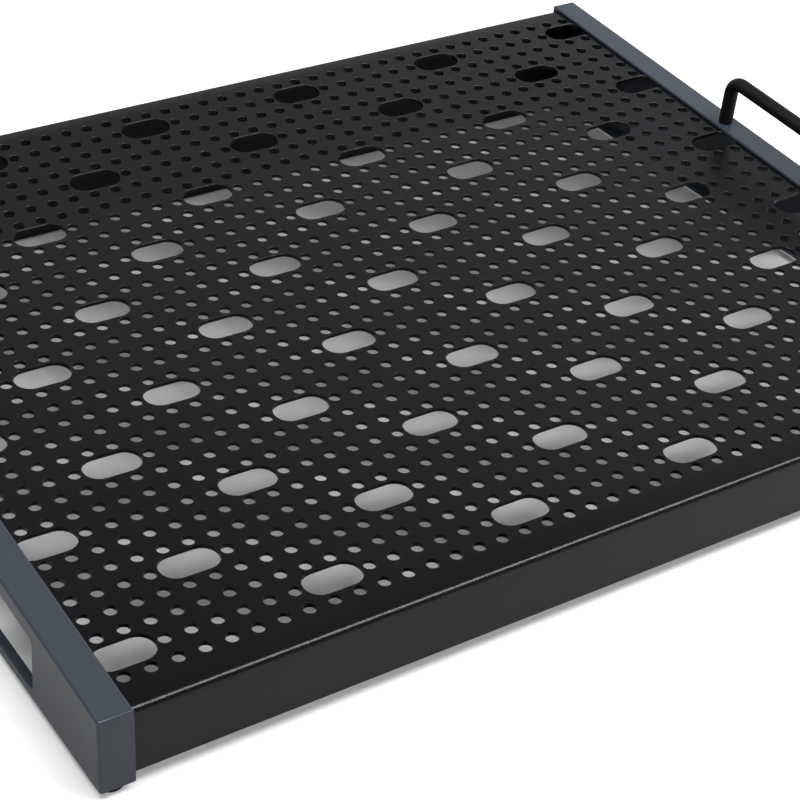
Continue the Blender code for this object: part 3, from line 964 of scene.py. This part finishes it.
def makeFloor():
    clearSelection()
    bpy.ops.mesh.primitive_plane_add(size=studio["floorSize"], location=(0, 0, 0))
    floor = started("studioFloor")
    material = bpy.data.materials.new("studioPaper")
    material.use_nodes = True
    tree = material.node_tree
    shader = tree.nodes["Principled BSDF"]
    shader.inputs["Roughness"].default_value = 0.9
    shader.inputs["Specular IOR Level"].default_value = 0.1
    shader.inputs["Emission Color"].default_value = (1, 1, 1, 1)
    # the camera sees pale paper, with painted light added as camera-only emission: none under the board,
    # some near it to thin its shadow, white further out; less light bounces back up
    seen = addNode(tree, "ShaderNodeLightPath")
    dimmed = addNode(tree, "ShaderNodeMath", operation="MULTIPLY")
    dimmed.inputs[1].default_value = studio["floorInGloss"]
    shown = addNode(tree, "ShaderNodeMath", operation="MAXIMUM")
    where = addNode(tree, "ShaderNodeTexCoord")
    fromMiddle = addNode(tree, "ShaderNodeVectorMath", operation="SUBTRACT")
    fromMiddle.inputs[1].default_value = studio["underMiddle"]
    oneQuarter = addNode(tree, "ShaderNodeVectorMath", operation="ABSOLUTE")
    past = addNode(tree, "ShaderNodeVectorMath", operation="SUBTRACT")
    past.inputs[1].default_value = studio["underBoard"]
    outside = addNode(tree, "ShaderNodeVectorMath", operation="MAXIMUM")
    away = addNode(tree, "ShaderNodeVectorMath", operation="LENGTH")
    # painted light: camera-only emission on the floor, rising outwards from the board's edge
    paintedLightRamp = addNode(tree, "ShaderNodeValToRGB")
    setStops(paintedLightRamp, studio["paintedFloorLight"])
    glow = addNode(tree, "ShaderNodeMath", operation="MULTIPLY")
    paper = addNode(tree, "ShaderNodeMix", data_type="RGBA")
    paper.inputs["A"].default_value = (*studio["floorBounce"], 1.0)
    paper.inputs["B"].default_value = (*studio["floorSeen"], 1.0)
    tree.links.new(seen.outputs["Is Camera Ray"], shown.inputs[0])
    tree.links.new(seen.outputs["Is Glossy Ray"], dimmed.inputs[0])
    tree.links.new(dimmed.outputs["Value"], shown.inputs[1])
    tree.links.new(where.outputs["Object"], fromMiddle.inputs[0])
    tree.links.new(fromMiddle.outputs["Vector"], oneQuarter.inputs[0])
    tree.links.new(oneQuarter.outputs["Vector"], past.inputs[0])
    tree.links.new(past.outputs["Vector"], outside.inputs[0])
    tree.links.new(outside.outputs["Vector"], away.inputs[0])
    tree.links.new(away.outputs["Value"], paintedLightRamp.inputs["Fac"])
    tree.links.new(paintedLightRamp.outputs["Color"], glow.inputs[0])
    tree.links.new(seen.outputs["Is Camera Ray"], glow.inputs[1])
    tree.links.new(glow.outputs["Value"], shader.inputs["Emission Strength"])
    tree.links.new(shown.outputs["Value"], paper.inputs["Factor"])
    tree.links.new(paper.outputs["Result"], shader.inputs["Base Color"])
    floor.data.materials.append(material)


def addSoftbox(name, box):
    lamp = bpy.data.lights.new(name, "AREA")
    lamp.shape = "RECTANGLE"
    lamp.size = box["width"]
    lamp.size_y = box["height"]
    lamp.energy = box["power"]
    stand = bpy.data.objects.new(name, lamp)
    stand.location = box["place"]
    stand.rotation_euler = (Vector(box["aim"]) - stand.location).to_track_quat("-Z", "Y").to_euler()
    bpy.context.scene.collection.objects.link(stand)


def makeWorld():
    world = bpy.data.worlds.new("studioWorld")
    bpy.context.scene.world = world
    world.use_nodes = True
    tree = world.node_tree
    sky = tree.nodes["Background"]
    where = addNode(tree, "ShaderNodeTexCoord")
    split = addNode(tree, "ShaderNodeSeparateXYZ")
    height = addNode(tree, "ShaderNodeValToRGB")
    setStops(height, studio["sky"], studio["skyTint"])
    towards = addNode(tree, "ShaderNodeVectorMath", operation="DOT_PRODUCT")
    towards.inputs[1].default_value = studio["glowFrom"]
    sideways = addNode(tree, "ShaderNodeMapRange")
    sideways.inputs["From Min"].default_value = -1.0
    facing = addNode(tree, "ShaderNodeValToRGB")
    setStops(facing, studio["glow"])
    both = addNode(tree, "ShaderNodeMix", data_type="RGBA", blend_type="MULTIPLY")
    both.inputs["Factor"].default_value = 1.0
    seen = addNode(tree, "ShaderNodeLightPath")
    mix = addNode(tree, "ShaderNodeMix", data_type="RGBA")
    mix.inputs["B"].default_value = (1, 1, 1, 1)
    tree.links.new(where.outputs["Generated"], split.inputs[0])
    tree.links.new(split.outputs["Z"], height.inputs["Fac"])
    tree.links.new(where.outputs["Generated"], towards.inputs[0])
    tree.links.new(towards.outputs["Value"], sideways.inputs["Value"])
    tree.links.new(sideways.outputs["Result"], facing.inputs["Fac"])
    tree.links.new(height.outputs["Color"], both.inputs["A"])
    tree.links.new(facing.outputs["Color"], both.inputs["B"])
    tree.links.new(both.outputs["Result"], mix.inputs["A"])
    tree.links.new(seen.outputs["Is Camera Ray"], mix.inputs["Factor"])
    tree.links.new(mix.outputs["Result"], sky.inputs["Color"])


def makeCamera():
    lens = bpy.data.cameras.new("photoCamera")
    lens.lens = view["lens"]
    lens.sensor_width = view["sensor"]
    lens.clip_start = view["nearest"]
    camera = bpy.data.objects.new("photoCamera", lens)
    camera.location = view["place"]
    camera.rotation_euler = [math.radians(turn) for turn in view["turn"]]
    bpy.context.scene.collection.objects.link(camera)
    bpy.context.scene.camera = camera


makeFloor()
makeWorld()
for boxName, box in studio["softboxes"].items():
    addSoftbox(boxName, box)
makeCamera()
bpy.context.scene.view_settings.view_transform = "Standard"
print("studio set")
